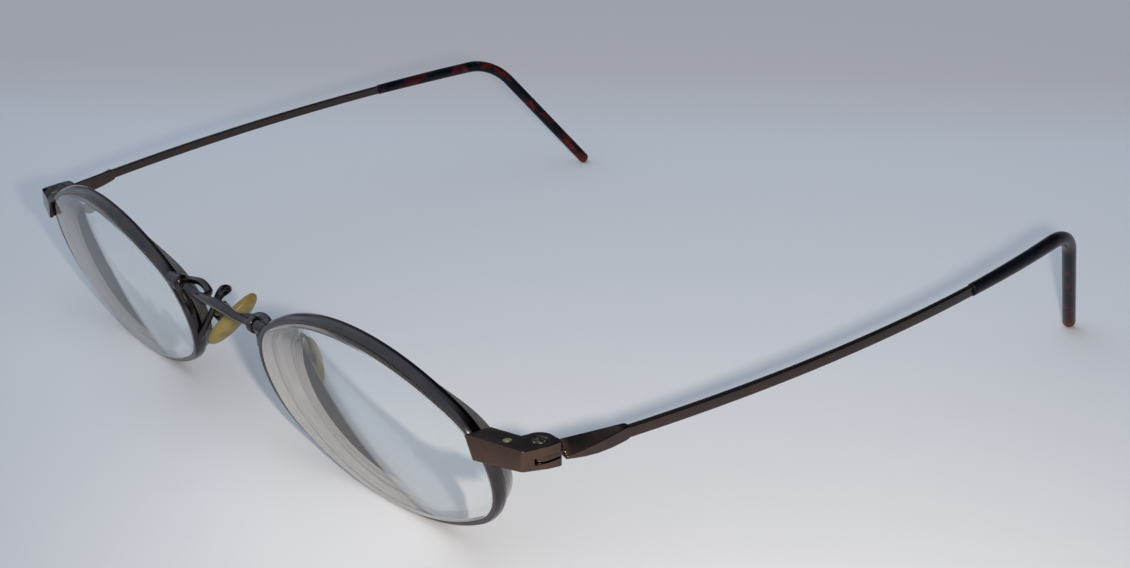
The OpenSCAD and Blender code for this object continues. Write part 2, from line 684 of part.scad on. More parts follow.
rim();  // rim_left
right() rim();  // rim_right
lens();  // lens_left
right() lens();  // lens_right
bridge();
endpiece();  // endpiece_left
right() endpiece();  // endpiece_right
closing_block();  // closing_block_left
right() closing_block();  // closing_block_right
rim_screw();  // rim_screw_left
right() rim_screw();  // rim_screw_right
hinge_screw();  // hinge_screw_left
right() hinge_screw();  // hinge_screw_right
pad_arm();  // pad_arm_left
right() pad_arm();  // pad_arm_right
pad_box();  // pad_box_left
right() pad_box();  // pad_box_right
pad_screw();  // pad_screw_left
right() pad_screw();  // pad_screw_right
pad_insert();  // pad_insert_left
right() pad_insert();  // pad_insert_right
nose_pad();  // nose_pad_left
right() nose_pad();  // nose_pad_right
temple_butt();  // temple_butt_left
right() temple_butt();  // temple_butt_right
temple_shaft();  // temple_shaft_left
right() temple_shaft();  // temple_shaft_right
temple_tip();  // temple_tip_left
right() temple_tip();  // temple_tip_right
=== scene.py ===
# %% [markdown]
# # A small oval eyeglass frame
# The CAD model gives the frame its true size and its joints. This script dresses it: each
# piece of metal, acetate, silicone, nylon and lens plastic gets a finer mesh and a finish of
# its own. The whole stands on pale paper, lit by a small lamp and by the cool light of a
# room. Sizes are written in millimetres, as an optician would give them, and are turned into
# metres where a mesh is made.

import json
import math

import bmesh
import bpy
from mathutils import Matrix, Vector


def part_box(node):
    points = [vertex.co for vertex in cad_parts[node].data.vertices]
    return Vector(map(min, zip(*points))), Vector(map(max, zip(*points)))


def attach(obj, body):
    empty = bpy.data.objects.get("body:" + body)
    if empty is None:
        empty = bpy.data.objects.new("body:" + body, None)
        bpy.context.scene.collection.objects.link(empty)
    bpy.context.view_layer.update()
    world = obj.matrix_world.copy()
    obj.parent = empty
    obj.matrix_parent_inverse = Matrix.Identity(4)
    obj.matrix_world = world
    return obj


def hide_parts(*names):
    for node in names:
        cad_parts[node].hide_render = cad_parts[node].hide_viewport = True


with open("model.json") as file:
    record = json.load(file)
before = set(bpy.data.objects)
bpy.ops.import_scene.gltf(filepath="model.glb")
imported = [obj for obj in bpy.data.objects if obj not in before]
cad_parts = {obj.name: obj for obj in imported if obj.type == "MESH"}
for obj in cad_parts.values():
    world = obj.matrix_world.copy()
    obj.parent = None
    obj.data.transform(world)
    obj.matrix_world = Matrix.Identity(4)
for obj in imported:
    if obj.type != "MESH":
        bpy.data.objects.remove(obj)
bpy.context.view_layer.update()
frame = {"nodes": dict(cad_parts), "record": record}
scene = bpy.context.scene
MM = 0.001
record = frame["record"]
body_of_node = {node: body for body, nodes in record["behaviour"]["bodies"].items() for node in nodes}
joints = {joint["name"]: joint for joint in record["behaviour"]["joints"]}

# %% [markdown]
# ## The sizes that shape the frame
# A frame is ordered by the width of its lens, the gap at its bridge and the length of its
# temples, so these come first. They could be measured on the CAD meshes, but written sizes
# are easier to read and to change. The left hinge of the CAD model says where the front
# stands.

# %% Sizes of the front, in mm
lens_width = 48
lens_height = 27.2
oval_end_radius = 9.6
bridge_gap = 22.6
lens_tilt = math.radians(15)
rim_wrap = math.radians(3)
rim_wall = 0.9
rim_depth = 1.9
groove_depth = 0.45
groove_half = 0.47
lens_gap = 0.05
hinge_back = 3.8
hinge_lift = 4.9
hinge = Vector(joints["left_temple_fold"]["pos_m"]) / MM
rim_x = (bridge_gap + lens_width) / 2
front_y = hinge.y - hinge_back
rim_z = hinge.z - hinge_lift
print("hinge at", [round(c, 2) for c in hinge], "mm, rim middle at height", round(rim_z, 2))

# %% [markdown]
# ## Frames of reference
# The lenses lean forwards at the top and turn a little backwards at the outside. Building a
# rim flat and moving it with one matrix is easier than building it in its leaning place.

# %% Matrices of the front and the left rim
front_place = Matrix.Translation((0, front_y, rim_z)) @ Matrix.Rotation(lens_tilt, 4, "X")
rim_place = (front_place @ Matrix.Translation((rim_x, 0, 0)) @ Matrix.Rotation(rim_wrap, 4, "Z")
             @ Matrix.Rotation(math.radians(90), 4, "X"))
to_metres = Matrix.Scale(MM, 4)
from_metres = Matrix.Scale(1 / MM, 4)
mirror_x = Matrix.Scale(-1, 4, (1, 0, 0))
print("middle of the left rim at", [round(c, 2) for c in rim_place.translation], "mm")

# %% [markdown]
# ## The camera
# The photograph was taken from the wearer's left, above the near hinge, with a lens of about
# 54 mm on a full frame. A camera can be turned by eye until the outlines agree, but this place
# was worked out from points of the rims, the temples and the tips, which is more exact. A
# small shift keeps the picture's centre where the photograph's crop has it.

# %% Camera
picture_width = 1130
focal_pixels = 1680.9
centre_offset = (-7.4, -86.5)
camera_yaw = math.radians(49.661)
camera_pitch = math.radians(-19.009)
camera_roll = math.radians(-0.747)
camera_from_front = Vector((204.306, -111.299, 113.663))

camera_data = bpy.data.cameras.new("camera")
camera = bpy.data.objects.new("camera", camera_data)
scene.collection.objects.link(camera)
camera_data.sensor_width = 36
camera_data.lens = focal_pixels / picture_width * camera_data.sensor_width
camera_data.shift_x = -centre_offset[0] / picture_width
camera_data.shift_y = centre_offset[1] / picture_width
camera_data.clip_start = 0.005
camera.matrix_world = (Matrix.Translation((camera_from_front + Vector((0, front_y, 0))) * MM)
                       @ Matrix.Rotation(camera_yaw, 4, "Z")
                       @ Matrix.Rotation(math.radians(90) + camera_pitch, 4, "X")
                       @ Matrix.Rotation(camera_roll, 4, "Z"))
scene.camera = camera
print("focal length", round(camera_data.lens, 1), "mm")

# %% [markdown]
# ## Helpers for materials
# A material is a small tree of nodes. It could be wired by hand in the shader editor, but a
# script can be read and run again. One function adds a node, sets its choices, and either
# sets or links each input.

# %% Nodes, colours and new materials
def add(tree, kind, inputs=None, **settings):
    """A new node, with its choices set and each input set or linked."""
    node = tree.nodes.new(kind)
    for name, value in settings.items():
        setattr(node, name, value)
    for name, value in (inputs or {}).items():
        if isinstance(value, bpy.types.NodeSocket):
            tree.links.new(value, node.inputs[name])
        else:
            node.inputs[name].default_value = value
    return node


def linear(hex_colour):
    """A colour code turned into the amounts of light that Blender mixes."""
    parts = [int(hex_colour[i:i + 2], 16) / 255 for i in (1, 3, 5)]
    return tuple(c / 12.92 if c <= 0.04045 else ((c + 0.055) / 1.055) ** 2.4 for c in parts) + (1,)


def new_material(name):
    material = bpy.data.materials.new(name)
    material.use_nodes = True
    material.node_tree.nodes.clear()
    return material, material.node_tree


def finished(material, shader):
    add(material.node_tree, "ShaderNodeOutputMaterial", {"Surface": shader})
    return material


print("white as light:", linear("#ffffff"))

# %% [markdown]
# ## Small steps between nodes
# Nearly every finish here needs the same few steps: a noise, a ramp of colours over it, a mix
# of two colours, a value stretched to a new range. With a short function for each of them, a
# material reads as a list of what it is made of.

# %% Noise, ramps, mixes and sums
def ramp(tree, share, stops):
    """A colour for each share from 0 to 1, between stops of colour codes or grey amounts."""
    node = add(tree, "ShaderNodeValToRGB", {"Fac": share})
    elements = node.color_ramp.elements
    while len(elements) < len(stops):
        elements.new(0.5)
    for element, (place, colour) in zip(elements, stops):
        element.position = place
        element.color = linear(colour) if isinstance(colour, str) else (colour,) * 3 + (1,)
    return node.outputs["Color"]


def mix_colour(tree, share, first, second):
    """A mix of two colours, each a socket or a colour code."""
    first, second = (linear(c) if isinstance(c, str) else c for c in (first, second))
    return add(tree, "ShaderNodeMix", {"Factor": share, "A": first, "B": second},
               data_type="RGBA").outputs["Result"]


def spread(tree, value, start, stop, low=0.0, high=1.0):
    """Where a value lies from start to stop, told as an amount from low to high."""
    return add(tree, "ShaderNodeMapRange", {
        "Value": value, "From Min": start, "From Max": stop,
        "To Min": low, "To Max": high}).outputs["Result"]


def calculate(tree, operation, *values):
    return add(tree, "ShaderNodeMath", dict(enumerate(values)), operation=operation).outputs[0]


def vector_step(tree, operation, *values):
    """One step of vector arithmetic, whose result is a number or a vector."""
    node = add(tree, "ShaderNodeVectorMath", dict(enumerate(values)), operation=operation)
    return node.outputs["Value" if operation in ("DOT_PRODUCT", "DISTANCE") else "Vector"]


def place_in_space(tree):
    return add(tree, "ShaderNodeTexCoord").outputs["Object"]


def noise(tree, feature_mm, detail=3, roughness=0.5, distortion=0):
    return add(tree, "ShaderNodeTexNoise", {
        "Vector": place_in_space(tree), "Scale": 1 / (feature_mm * MM), "Detail": detail,
        "Roughness": roughness, "Distortion": distortion}).outputs["Fac"]


def fine_bump(tree, height, strength):
    """Relief a fiftieth of a millimetre deep."""
    return add(tree, "ShaderNodeBump", {
        "Height": height, "Strength": strength, "Distance": 0.02 * MM}).outputs["Normal"]


# %% [markdown]
# ## Antique plated metal
# The rims, bridge and hinges are a white metal under dark bronze plating. Plating is smooth
# and glossy but never even: brown clouds a few millimetres wide lie in it, and fine grains
# of bare copper show where hands have worn it. The eye reads the dark faces as metal because
# of their sharp, coloured highlights, so metallic is 1 and the base colour is kept dark. Only
# round the rim screw has verdigris crept out, and that is no metal. A picture of metal could
# be wrapped round the pieces instead, but a noise in space needs no unwrapping and has no seam.

# %% Plated metal
cloud_mm = 2.5
verdigris = "#6f7750"
stain_patch_mm = 0.3
stain_swing_mm = 0.3
stain_full_share = 0.8


def plated_metal(name, dark, brown, worn, roughness, grain_mm=0.12, stained_near=None):
    material, tree = new_material(name)
    clouds = noise(tree, cloud_mm, 3)
    grains = noise(tree, grain_mm, 2, 0.6)
    body = ramp(tree, clouds, [(0.3, dark), (0.75, brown)])
    wear = ramp(tree, grains, [(0.66, 0.0), (0.78, 0.6)])
    colour = mix_colour(tree, wear, body, worn)
    metal_share = 1.0
    if stained_near:
        stain = stain_ring(tree, *stained_near)
        colour = mix_colour(tree, stain, colour, verdigris)
        metal_share = calculate(tree, "SUBTRACT", 1.0, stain)
    shader = add(tree, "ShaderNodeBsdfPrincipled", {
        "Base Color": colour, "Metallic": metal_share, "Normal": fine_bump(tree, grains, 0.15),
        "Roughness": spread(tree, clouds, 0.0, 1.0, roughness - 0.04, roughness + 0.08)})
    return finished(material, shader.outputs["BSDF"])


def stain_ring(tree, centre, reach_mm):
    """Verdigris that has crept out round a screw, at its mirror place on the right side too."""
    place = place_in_space(tree)
    across = vector_step(tree, "MULTIPLY", vector_step(tree, "ABSOLUTE", place), (1, 0, 0))
    back_and_up = vector_step(tree, "MULTIPLY", place, (0, 1, 1))
    on_left = vector_step(tree, "ADD", back_and_up, across)
    away = vector_step(tree, "DISTANCE", on_left, centre)
    uneven = calculate(tree, "MULTIPLY_ADD", noise(tree, stain_patch_mm, 2),
                       2 * stain_swing_mm * MM, -stain_swing_mm * MM)
    reach = calculate(tree, "ADD", away, uneven)
    return spread(tree, reach, reach_mm * MM, reach_mm * MM * stain_full_share)


def top_middle(node):
    low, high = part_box(node)
    return (abs(low[0] + high[0]) / 2, (low[1] + high[1]) / 2, high[2])


gunmetal = plated_metal("gunmetal_plating", "#434246", "#544b4a", "#7c6456", 0.12)
bronze = plated_metal("antique_bronze_plating", "#524742", "#644d3f", "#a0745a", 0.17,
                      stained_near=(top_middle("rim_screw_left"), 0.62))
butt_bronze = plated_metal("antique_bronze_butt", "#4a4240", "#5c4a40", "#a0745a", 0.19)
temple_bronze = plated_metal("brushed_bronze_strip", "#4a4240", "#55463f", "#6c5648", 0.24, 0.3)
print("plated metals:", gunmetal.name, bronze.name, butt_bronze.name, temple_bronze.name)

# %% [markdown]
# ## Screws of nickel silver
# The ends of the small screws were never plated. Sweat has turned them dull, with green
# patches of verdigris a third of a millimetre wide. Two pieces of geometry would be too much
# for that, so a noise mixes two colours, and where there is verdigris the surface stops
# being metal. The hinge screw's head is darker, with fewer patches.

# %% Screw metal
patch_mm = 0.3
patch_fade = 0.1


def tarnished_metal(name, clean, tarnish, patch_start):
    material, tree = new_material(name)
    patches = ramp(tree, noise(tree, patch_mm, 3), [(patch_start, 0.0), (patch_start + patch_fade, 1.0)])
    shader = add(tree, "ShaderNodeBsdfPrincipled", {
        "Base Color": mix_colour(tree, patches, clean, tarnish),
        "Metallic": calculate(tree, "SUBTRACT", 1.0, patches), "Roughness": 0.4})
    return finished(material, shader.outputs["BSDF"])


screw_metal = tarnished_metal("tarnished_nickel_silver", "#8f8a74", "#6f7a50", 0.4)
hinge_screw_metal = tarnished_metal("plated_screw_head", "#4b4744", "#8d9072", 0.56)
print("screw metals:", screw_metal.name, hinge_screw_metal.name)

# %% [markdown]
# ## Tortoise acetate of the ear tips
# The tips are cellulose acetate, moulded over the wire and polished by tumbling. It is nearly
# black, with blue-black and wine-red clouds some millimetres long, and turns amber where the
# end is thin. Years of wear have taken some of its polish, so its mirror is weak and soft. The
# real material is a little clear, but it is so dark that a volume inside would hardly show,
# and a mottled colour on the surface renders faster.

# %% Tip acetate
mottle_mm = 3.2
amber_starts_mm = 3.2
amber_full_mm = 0.6


def tortoise_acetate():
    material, tree = new_material("tortoise_acetate")
    mottled = ramp(tree, noise(tree, mottle_mm, 4, 0.55, 0.6),
                   [(0.38, "#070b12"), (0.5, "#0f121b"), (0.57, "#3b1018"), (0.68, "#572016")])
    height = add(tree, "ShaderNodeSeparateXYZ", {"Vector": place_in_space(tree)}).outputs["Z"]
    amber_share = spread(tree, height, amber_starts_mm * MM, amber_full_mm * MM)
    shader = add(tree, "ShaderNodeBsdfPrincipled", {
        "Base Color": mix_colour(tree, amber_share, mottled, "#5e2a19"), "Roughness": 0.24,
        "IOR": 1.49, "Specular IOR Level": 0.16})
    return finished(material, shader.outputs["BSDF"])


acetate = tortoise_acetate()
print("tips turn amber below", amber_starts_mm, "mm")

# %% [markdown]
# ## Yellowed silicone and its nylon plate
# A nose pad is cast clear silicone. Skin oil has turned it yellow, deeper in clouds, and it
# glows where light passes through its thin rim. Part of the light goes through it and part
# is scattered inside, so transmission and subsurface are both used.

# %% Pad silicone and insert nylon
silicone_cloud_mm = 1.6
nylon_cloud_mm = 0.8


def yellowed_silicone():
    material, tree = new_material("yellowed_silicone")
    shader = add(tree, "ShaderNodeBsdfPrincipled", {
        "Base Color": ramp(tree, noise(tree, silicone_cloud_mm, 3),
                           [(0.3, "#96843f"), (0.7, "#b9a965")]),
        "Roughness": 0.38, "IOR": 1.41, "Transmission Weight": 0.45,
        "Subsurface Weight": 0.5, "Subsurface Scale": 1.2 * MM})
    return finished(material, shader.outputs["BSDF"])


def frosted_nylon():
    material, tree = new_material("frosted_nylon")
    shader = add(tree, "ShaderNodeBsdfPrincipled", {
        "Base Color": ramp(tree, noise(tree, nylon_cloud_mm, 2),
                           [(0.3, "#b9ad86"), (0.7, "#d6cda8")]),
        "Roughness": 0.45, "IOR": 1.53, "Subsurface Weight": 0.3, "Subsurface Scale": 0.8 * MM})
    return finished(material, shader.outputs["BSDF"])


silicone = yellowed_silicone()
nylon = frosted_nylon()
print("pads:", silicone.name, "and", nylon.name)

# %% [markdown]
# ## The lens: polished faces and a ground edge
# The lens is optical plastic of a high index. Its two faces are polished, and its edge is
# left as the grinding wheel cut it, which scatters light like frosted glass. The pale rings
# along the rim of a strong lens are mirror images of that edge. They could be painted on a
# flat pane, but a true edge and a true index draw them from every side.

# %% Lens materials
lens_index = 1.74
grit_mm = 0.08


def polished_lens():
    material, tree = new_material("polished_optical_plastic")
    glass = add(tree, "ShaderNodeBsdfPrincipled", {
        "Base Color": linear("#f4f8f8"), "Roughness": 0.0, "IOR": lens_index,
        "Transmission Weight": 1.0})
    # A hollow lens spreads the lamp's light, so only about a third of it falls behind the lens
    clear = add(tree, "ShaderNodeBsdfTransparent", {"Color": linear("#c6ccd3")})
    shadow = add(tree, "ShaderNodeLightPath").outputs["Is Shadow Ray"]
    both = add(tree, "ShaderNodeMixShader", {
        0: shadow, 1: glass.outputs["BSDF"], 2: clear.outputs["BSDF"]})
    return finished(material, both.outputs["Shader"])


def ground_lens_edge():
    material, tree = new_material("ground_lens_edge")
    relief = fine_bump(tree, noise(tree, grit_mm, 2), 0.3)
    through = add(tree, "ShaderNodeBsdfPrincipled", {
        "Base Color": linear("#eef0f0"), "Roughness": 0.22, "IOR": lens_index,
        "Transmission Weight": 1.0, "Normal": relief})
    scattered = add(tree, "ShaderNodeBsdfDiffuse", {"Color": linear("#b9b6b6"), "Normal": relief})
    # From inside the lens the ground edge is a pale wall, from outside a frosted window
    from_inside = add(tree, "ShaderNodeNewGeometry").outputs["Backfacing"]
    scatter_share = spread(tree, from_inside, 0.0, 1.0, 0.12, 0.95)
    frosted = add(tree, "ShaderNodeMixShader", {
        0: scatter_share, 1: through.outputs["BSDF"], 2: scattered.outputs["BSDF"]})
    return finished(material, frosted.outputs["Shader"])


lens_face = polished_lens()
lens_edge = ground_lens_edge()
print("lens index", lens_index)

# %% [markdown]
# ## Helpers for pieces
# Every finished piece is one mesh at the origin, with its place in its vertices. It rides the
# body that its CAD node belongs to, so it moves with the joint. The right half could be a
# mirror modifier's work, but left and right are separate pieces on separate bodies, so the
# mesh is copied and mirrored. That turns its faces inside out, and they are turned back.

# %% From a mesh to a piece on its body
def to_piece(name, mesh, place, material, node, sharp_degrees):
    """A piece that stands for a CAD node, from a mesh in mm and the matrix that places it.

    Edges that turn by more than sharp_degrees are shaded sharp, and the others smooth.
    """
    mesh.transform(to_metres @ place)
    if place.determinant() < 0:
        mesh.flip_normals()
    mesh.shade_smooth()
    mesh.set_sharp_from_angle(angle=math.radians(sharp_degrees))
    if material is not None:
        mesh.materials.clear()
        mesh.materials.append(material)
    piece = bpy.data.objects.new(name, mesh)
    scene.collection.objects.link(piece)
    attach(piece, body_of_node[node])
    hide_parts(node)
    return piece


def both_sides(base, mesh, place, material, sharp_degrees):
    """The left and the right piece from one left mesh."""
    right_mesh = mesh.copy()
    to_piece(base + "_left_finished", mesh, place, material, base + "_left", sharp_degrees)
    to_piece(base + "_right_finished", right_mesh, mirror_x @ place, material, base + "_right",
             sharp_degrees)
    print(base, len(mesh.polygons), "faces a side")


# %% [markdown]
# ## A geometry node tree that sweeps a section along a path
# Rims, temple strips and ear tips all follow one rule: a section carried along a curve. A
# curve's own bevel could do it, but a modifier with a node tree shows each step and can be
# used again, so the tree is built once. Its inputs are the path, the section, whether the
# ends are closed, and the finish. The curve's own radius scales the section, which tapers
# the tips.

# %% The sweep tree
def build_sweep_tree():
    tree = bpy.data.node_groups.new("sweep_section_along_path", "GeometryNodeTree")
    sides = tree.interface
    sides.new_socket("Path", in_out="INPUT", socket_type="NodeSocketGeometry")
    sides.new_socket("Section", in_out="INPUT", socket_type="NodeSocketObject")
    sides.new_socket("Closed Ends", in_out="INPUT", socket_type="NodeSocketBool")
    sides.new_socket("Finish", in_out="INPUT", socket_type="NodeSocketMaterial")
    sides.new_socket("Swept", in_out="OUTPUT", socket_type="NodeSocketGeometry")
    given = add(tree, "NodeGroupInput").outputs
    section = add(tree, "GeometryNodeObjectInfo", {"Object": given["Section"]})
    radius = add(tree, "GeometryNodeInputRadius")
    swept = add(tree, "GeometryNodeCurveToMesh", {
        "Curve": given["Path"], "Profile Curve": section.outputs["Geometry"],
        "Scale": radius.outputs["Radius"], "Fill Caps": given["Closed Ends"]})
    real = add(tree, "GeometryNodeRealizeInstances", {"Geometry": swept.outputs["Mesh"]})
    coated = add(tree, "GeometryNodeSetMaterial", {
        "Geometry": real.outputs["Geometry"], "Material": given["Finish"]})
    add(tree, "NodeGroupOutput", {"Swept": coated.outputs["Geometry"]})
    return tree


sweep_tree = build_sweep_tree()
sweep_input = {item.name: item.identifier for item in sweep_tree.interface.items_tree
               if item.in_out == "INPUT"}
print("sweep inputs:", sorted(sweep_input))

# %% [markdown]
# ## From lists of points to a swept mesh
# Path and section are written as lists of points, because a formula gives them exactly. They
# become two curves for a moment, the modifier is worked out, and only its mesh is kept.

# %% Curves and the sweep itself
def poly_curve(name, points, closed, radii=None):
    data = bpy.data.curves.new(name, "CURVE")
    data.dimensions = "3D"
    data.twist_mode = "Z_UP"
    spline = data.splines.new("POLY")
    spline.points.add(len(points) - 1)
    for i, point in enumerate(points):
        spline.points[i].co = (*point, 0, 1) if len(point) == 2 else (*point, 1)
        spline.points[i].radius = radii[i] if radii else 1
    spline.use_cyclic_u = closed
    curve = bpy.data.objects.new(name, data)
    scene.collection.objects.link(curve)
    return curve


def sweep(name, path, section, closed, finish, radii=None):
    """The mesh, in the path's own units, of a section carried along a path."""
    path_curve = poly_curve(name + "_path", path, closed, radii)
    section_curve = poly_curve(name + "_section", section, True)
    modifier = path_curve.modifiers.new("sweep", "NODES")
    modifier.node_group = sweep_tree
    modifier[sweep_input["Section"]] = section_curve
    modifier[sweep_input["Closed Ends"]] = not closed
    modifier[sweep_input["Finish"]] = finish
    evaluated = path_curve.evaluated_get(bpy.context.evaluated_depsgraph_get())
    mesh = bpy.data.meshes.new_from_object(evaluated)
    path_curve.modifiers.remove(modifier)
    bpy.data.objects.remove(path_curve)
    bpy.data.objects.remove(section_curve)
    return mesh


# %% [markdown]
# ## Rounded corners
# No drawn or rolled wire has a knife's edge. A bevel modifier could round the finished mesh,
# but the section has only a few corners, and rounding them before the sweep is simpler. Each
# corner gives way to a short curve that leaves both of its sides without a kink.

# %% Round the corners of a section
def rounded(points, radius, steps=3):
    """A closed outline with every corner rounded, by less than half of its shorter side."""
    out = []
    longest_share = 1 / 2.2
    for i, corner in enumerate(points):
        corner = Vector(corner)
        before = Vector(points[i - 1]) - corner
        after = Vector(points[(i + 1) % len(points)]) - corner
        back = min(radius, before.length * longest_share, after.length * longest_share)
        start = corner + before.normalized() * back
        end = corner + after.normalized() * back
        for k in range(steps + 1):
            share = k / steps
            blend = start * (1 - share) ** 2 + corner * 2 * share * (1 - share) + end * share * share
            out.append(tuple(blend))
    return out


# %% [markdown]
# ## Rims
# An eyewire is drawn wire with a V groove inside, bent round the lens and cut through at the
# endpiece, where a screw closes it. A scaled circle would be a quick path, but lens shapes are
# drawn with arcs, so the path is an oval of four arcs that meet without a kink.

# %% The oval
half_width = lens_width / 2
half_height = lens_height / 2
side_radius = ((half_width ** 2 + half_height ** 2 - 2 * half_width * oval_end_radius)
               / (2 * (half_height - oval_end_radius)))
end_x = half_width - oval_end_radius
side_drop = side_radius - half_height
end_turn = math.atan2(side_drop, end_x)


def oval(grow=0.0, end_steps=30, side_steps=44):
    """Points of the oval, grown outwards, anticlockwise from its outer end."""
    arcs = [((end_x, 0), oval_end_radius, -end_turn, end_turn, end_steps),
            ((0, -side_drop), side_radius, end_turn, math.pi - end_turn, side_steps),
            ((-end_x, 0), oval_end_radius, math.pi - end_turn, math.pi + end_turn, end_steps),
            ((0, side_drop), side_radius, math.pi + end_turn, 2 * math.pi - end_turn, side_steps)]
    points = []
    for (cx, cy), radius, start, stop, steps in arcs:
        for k in range(steps):
            angle = start + (stop - start) * k / steps
            points.append((cx + (radius + grow) * math.cos(angle),
                           cy + (radius + grow) * math.sin(angle)))
    return points


print("oval", round(side_radius, 2), "mm side radius,", len(oval()), "points")

# %% [markdown]
# ## The rim's section
# The inner side of the wire has the V groove. The outer side has a flat ridge between two
# chamfers, which catches a line of light. Carrying this section round the oval gives the
# whole rim, and the closing block hides where the real one is cut.

# %% Sweep the rims
ridge_half = 0.35
chamfer = 0.2
rim_corner_radius = 0.09
rim_section = [(0, -rim_depth / 2), (0, -groove_half), (groove_depth, 0), (0, groove_half),
               (0, rim_depth / 2), (rim_wall - chamfer, rim_depth / 2), (rim_wall, ridge_half),
               (rim_wall, -ridge_half), (rim_wall - chamfer, -rim_depth / 2)]
rim_path = [(x, y, 0) for x, y in oval()]
rim_mesh = sweep("rim", rim_path, rounded(rim_section, rim_corner_radius), True, gunmetal)
both_sides("rim", rim_mesh, rim_place, gunmetal, sharp_degrees=60)

# %% [markdown]
# ## Lenses
# A lens is made of rings: the front sphere from the middle outwards, over the ground edge
# with its V bevel that sits in the rim's groove, and back to the middle along the hollow rear
# sphere. It could be cut from spheres with booleans, but rings keep the edge's band clean,
# and the faces of that band get the frosted material. The front is a little flatter and the
# rear a little more hollow than in the CAD lens, which widens the zone that mirrors the edge.

# %% Sizes of the lens
lens_front_radius = 300
lens_back_radius = 85
lens_front_rise = 1.9
lens_thickness = 1.33
bevel_reach = groove_depth - lens_gap
safety_chamfer = 0.16
lens_arc_steps = (36, 52)
# Rings of each face, by their share of the way out, closer together near the edge
ring_shares = [0.08, 0.2, 0.34, 0.48, 0.62, 0.74, 0.84, 0.92, 0.97, 1.0]


def sag(radius, distance):
    """How far a sphere has fallen away at some distance from its top."""
    return radius - math.sqrt(radius * radius - distance * distance)


edge_z = lens_front_rise - sag(lens_front_radius, half_width)
print("front of the lens:", lens_front_rise, "mm high in its middle,", round(edge_z, 2), "at its ends")

# %% [markdown]
# ## The rings of the lens
# The rings of a face are copies of the oval, smaller towards the middle, and the sphere gives
# each point its height. Neighbouring rings are joined by four-sided faces, and a point in the
# middle closes each side. The faces on the edge get the second material, the ground one.

# %% Lens mesh
def lens_mesh():
    outline = oval(-lens_gap, *lens_arc_steps)
    inner = oval(-lens_gap - safety_chamfer, *lens_arc_steps)
    bevel_apex = oval(bevel_reach, *lens_arc_steps)
    count = len(outline)
    mesh = bmesh.new()

    def front_z(x, y):
        return lens_front_rise - sag(lens_front_radius, math.hypot(x, y))

    def back_z(x, y):
        return lens_front_rise - lens_thickness - sag(lens_back_radius, math.hypot(x, y))

    def face_ring(share, height):
        return [mesh.verts.new((x * share, y * share, height(x * share, y * share))) for x, y in inner]

    def edge_ring(points, height):
        return [mesh.verts.new((x, y, height(x, y))) for x, y in points]

    rings = [face_ring(share, front_z) for share in ring_shares]
    edge_start = len(rings) - 1
    rings += [edge_ring(outline, lambda x, y: front_z(x, y) - safety_chamfer),
              edge_ring(outline, lambda x, y: groove_half),
              edge_ring(bevel_apex, lambda x, y: 0.0),
              edge_ring(outline, lambda x, y: -groove_half),
              edge_ring(outline, lambda x, y: back_z(x, y) + safety_chamfer)]
    edge_stop = len(rings)
    rings += [face_ring(share, back_z) for share in reversed(ring_shares)]
    for k in range(len(rings) - 1):
        on_edge = edge_start <= k < edge_stop
        for i in range(count):
            j = (i + 1) % count
            face = mesh.faces.new((rings[k][i], rings[k + 1][i], rings[k + 1][j], rings[k][j]))
            face.material_index = 1 if on_edge else 0
    for ring, height in ((rings[0], front_z(0, 0)), (rings[-1], back_z(0, 0))):
        middle = mesh.verts.new((0, 0, height))
        for i in range(count):
            mesh.faces.new((middle, ring[i], ring[(i + 1) % count]))
    bmesh.ops.recalc_face_normals(mesh, faces=mesh.faces)
    out = bpy.data.meshes.new("lens")
    mesh.to_mesh(out)
    mesh.free()
    out.materials.append(lens_face)
    out.materials.append(lens_edge)
    return out


both_sides("lens", lens_mesh(), rim_place, None, sharp_degrees=30)

# %% [markdown]
# ## Temples
# A temple is one wire: pressed to a flat strip over most of its length, bowed a little
# inwards, then bent down behind the ear inside the acetate tip. Points could be set by hand
# along it, but an arc, a tight bend and a straight drop need only a few sizes. The drop is as
# long as it takes for its round end to touch the table.

# %% Path of the left temple, from the hinge, in mm
temple_straight = 95.8
bow_radius = 264
splay = math.radians(13.8)
rise = math.radians(2.9)
path_offset = 1.3
bend_radius = 11
bend_angle = math.radians(55)
bend_roll = math.radians(17)
butt_end = 11.3
braze_gap = 0.02
tip_start = 73.5
tip_radius = 1.1
temple_place = Matrix.Translation(hinge) @ Matrix.Rotation(rise, 4, "X")
bow_centre = Vector((path_offset - bow_radius * math.cos(splay), bow_radius * math.sin(splay), 0))


def heading(length):
    """The wire's angle from straight back, after some length of its bow."""
    return splay - length / bow_radius


def bow_point(length):
    angle = heading(length)
    return bow_centre + bow_radius * Vector((math.cos(angle), -math.sin(angle), 0))


bend_start = bow_point(temple_straight)
bend_along = Vector((math.sin(heading(temple_straight)), math.cos(heading(temple_straight)), 0))
bend_out = Vector((math.cos(heading(temple_straight)), -math.sin(heading(temple_straight)), 0))
bend_down = -math.cos(bend_roll) * Vector((0, 0, 1)) - math.sin(bend_roll) * bend_out


def bend_point(angle):
    return bend_start + bend_radius * (math.sin(angle) * bend_along + (1 - math.cos(angle)) * bend_down)


drop_along = math.cos(bend_angle) * bend_along + math.sin(bend_angle) * bend_down
drop_start = bend_point(bend_angle)
world_start = temple_place @ drop_start
world_along = temple_place.to_3x3() @ drop_along
drop_length = (world_start.z - tip_radius) / -world_along.z
print("drop", round(drop_length, 2), "mm long, whole temple",
      round(temple_straight + bend_radius * bend_angle + drop_length, 1), "mm")

# %% [markdown]
# ## The flat strip
# Rollers press the wire flat and leave its corners a little round. The strip is swept from
# the rear of the hinge casting, with a hair's breadth for the solder, to the start of the tip.

